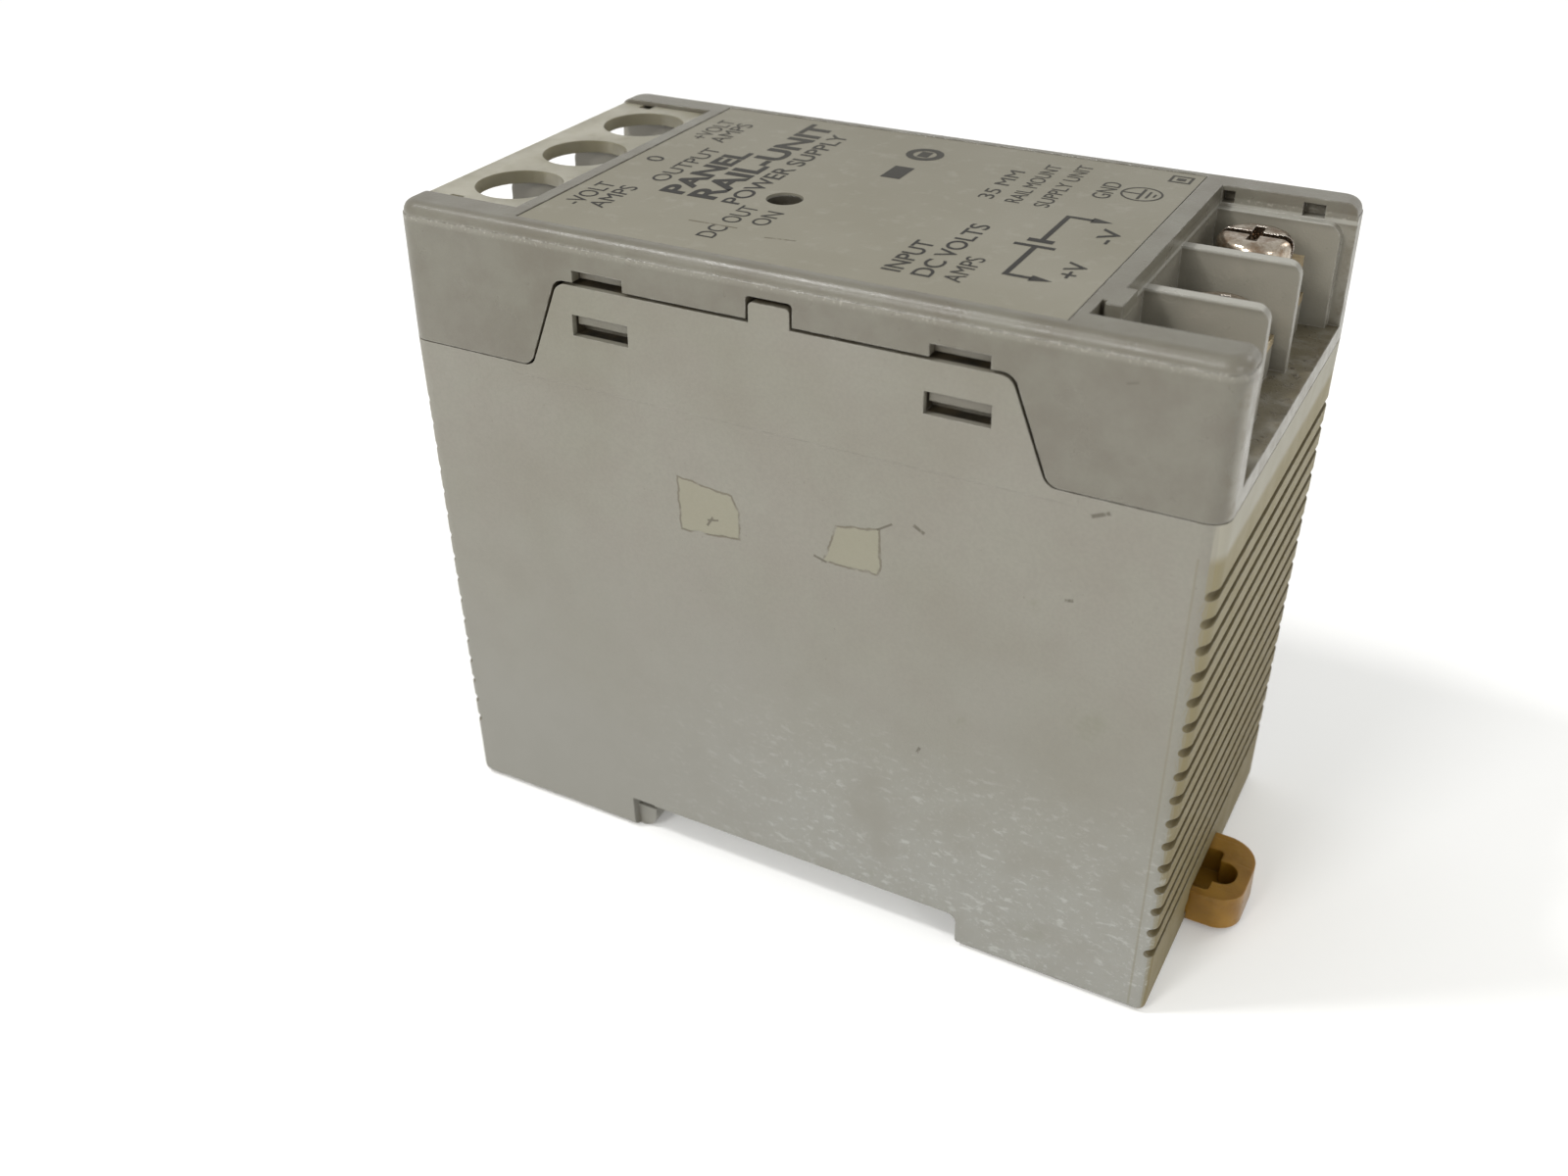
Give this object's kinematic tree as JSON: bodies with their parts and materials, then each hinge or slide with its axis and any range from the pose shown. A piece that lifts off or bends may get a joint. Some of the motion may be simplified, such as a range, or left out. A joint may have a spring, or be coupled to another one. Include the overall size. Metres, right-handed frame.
{
  "type": "din rail power supply",
  "caption": "Compact enclosed power supply that snaps onto a 35 mm mounting rail, with screw terminals at both ends of its front face, a lift-up terminal cover and a pull-out rail latch.",
  "frame": {"origin": "centre of the rail seat, on the face that rests on the front of the mounting rail, midway between the slot's walls", "axes": "+X towards the rail latch and the input terminals, along the long side; +Y across the narrow width; +Z away from the rail, out of the front face"},
  "size_m": [0.0786, 0.04, 0.0639],
  "materials": {
    "case_plastic": "fine matt moulded texture",
    "cover_plastic": "fine matt moulded texture",
    "latch_plastic": "translucent amber, satin",
    "clear_cover_plastic": "milky translucent",
    "terminal_brass": "plated, dull",
    "washer_brass": "plated, dull",
    "screw_brass": "zinc plated with a yellow passivation",
    "label_film": "matt printed film",
    "lamp_resin": "tinted clear resin",
    "board_laminate": "solder mask",
    "insulation_film": "smooth film",
    "black_plastic": "moulded",
    "tinned_pins": "bright tin",
    "ferrite": "ground, dark grey",
    "winding_copper": "enamelled wire under tape",
    "sink_aluminium": "bare sheet",
    "bolt_steel": "zinc plated",
    "capacitor_sleeve": "shrink sleeve",
    "resistor_lacquer": "lacquer",
    "film_block": "moulded box",
    "fuse_cap": "moulded can"
  },
  "bodies": {
    "housing": {"case": "case_plastic", "front_cover": "cover_plastic", "input_terminal_plates": "terminal_brass", "output_terminal_plates": "terminal_brass", "front_label": "label_film", "status_led": "lamp_resin", "front_board": "board_laminate", "main_board": "board_laminate", "insulation_sheet": "insulation_film", "header_strip": "black_plastic", "header_pins": "tinned_pins", "transformer_core": "ferrite", "transformer_bobbin": "black_plastic", "transformer_winding": "winding_copper", "choke_cores": "ferrite", "choke_windings": "winding_copper", "heat_sink": "sink_aluminium", "switching_transistor": "black_plastic", "transistor_bolt": "bolt_steel", "input_capacitors": "capacitor_sleeve", "output_capacitors": "capacitor_sleeve", "rectifier_diodes": "black_plastic", "resistors": "resistor_lacquer", "control_chip": "black_plastic", "optocoupler": "black_plastic", "film_capacitor": "film_block", "fuse": "fuse_cap"},
    "latch": {"rail_latch": "latch_plastic"},
    "output_cover": {"output_terminal_cover": "clear_cover_plastic"},
    "input_washer_1_body": {"input_washer_1": "washer_brass"},
    "input_screw_1_body": {"input_screw_1": "screw_brass"},
    "input_washer_2_body": {"input_washer_2": "washer_brass"},
    "input_screw_2_body": {"input_screw_2": "screw_brass"},
    "input_washer_3_body": {"input_washer_3": "washer_brass"},
    "input_screw_3_body": {"input_screw_3": "screw_brass"},
    "output_washer_1_body": {"output_washer_1": "washer_brass"},
    "output_screw_1_body": {"output_screw_1": "screw_brass"},
    "output_washer_2_body": {"output_washer_2": "washer_brass"},
    "output_screw_2_body": {"output_screw_2": "screw_brass"},
    "output_washer_3_body": {"output_washer_3": "washer_brass"},
    "output_screw_3_body": {"output_screw_3": "screw_brass"}
  },
  "joints": [
    {"name": "latch_slide", "type": "slide", "parent": "housing", "child": "latch", "axis": [1, 0, 0], "range_m": [0, 0.0045]},
    {"name": "output_cover_hinge", "type": "hinge", "parent": "housing", "child": "output_cover", "pos_m": [-0.028, 0, 0.0591], "axis": [0, 1, 0], "range_deg": [0, 90]},
    {"name": "input_washer_1_lift", "type": "slide", "parent": "housing", "child": "input_washer_1_body", "axis": [0, 0, 1], "range_m": [0, 0.003]},
    {"name": "input_screw_1_turn", "type": "hinge", "parent": "input_washer_1_body", "child": "input_screw_1_body", "pos_m": [0.02975, -0.0104, 0.0537], "axis": [0, 0, 1], "range_deg": [0, 1801]},
    {"name": "input_washer_2_lift", "type": "slide", "parent": "housing", "child": "input_washer_2_body", "axis": [0, 0, 1], "range_m": [0, 0.003]},
    {"name": "input_screw_2_turn", "type": "hinge", "parent": "input_washer_2_body", "child": "input_screw_2_body", "pos_m": [0.02975, 0, 0.0537], "axis": [0, 0, 1], "range_deg": [0, 1801]},
    {"name": "input_washer_3_lift", "type": "slide", "parent": "housing", "child": "input_washer_3_body", "axis": [0, 0, 1], "range_m": [-0.0025, 0.0005]},
    {"name": "input_screw_3_turn", "type": "hinge", "parent": "input_washer_3_body", "child": "input_screw_3_body", "pos_m": [0.02975, 0.0104, 0.0537], "axis": [0, 0, 1], "range_deg": [-1501, 301]},
    {"name": "output_washer_1_lift", "type": "slide", "parent": "housing", "child": "output_washer_1_body", "axis": [0, 0, 1], "range_m": [0, 0.003]},
    {"name": "output_screw_1_turn", "type": "hinge", "parent": "output_washer_1_body", "child": "output_screw_1_body", "pos_m": [-0.03155, -0.0104, 0.0537], "axis": [0, 0, 1], "range_deg": [0, 1801]},
    {"name": "output_washer_2_lift", "type": "slide", "parent": "housing", "child": "output_washer_2_body", "axis": [0, 0, 1], "range_m": [0, 0.003]},
    {"name": "output_screw_2_turn", "type": "hinge", "parent": "output_washer_2_body", "child": "output_screw_2_body", "pos_m": [-0.03155, 0, 0.0537], "axis": [0, 0, 1], "range_deg": [0, 1801]},
    {"name": "output_washer_3_lift", "type": "slide", "parent": "housing", "child": "output_washer_3_body", "axis": [0, 0, 1], "range_m": [0, 0.003]},
    {"name": "output_screw_3_turn", "type": "hinge", "parent": "output_washer_3_body", "child": "output_screw_3_body", "pos_m": [-0.03155, 0.0104, 0.0537], "axis": [0, 0, 1], "range_deg": [0, 1801]}
  ],
  "couplings": [
    {"joint": "input_screw_1_turn", "follows": "input_washer_1_lift", "rad_per_m": 10472},
    {"joint": "input_screw_2_turn", "follows": "input_washer_2_lift", "rad_per_m": 10472},
    {"joint": "input_screw_3_turn", "follows": "input_washer_3_lift", "rad_per_m": 10472},
    {"joint": "output_screw_1_turn", "follows": "output_washer_1_lift", "rad_per_m": 10472},
    {"joint": "output_screw_2_turn", "follows": "output_washer_2_lift", "rad_per_m": 10472},
    {"joint": "output_screw_3_turn", "follows": "output_washer_3_lift", "rad_per_m": 10472}
  ]
}
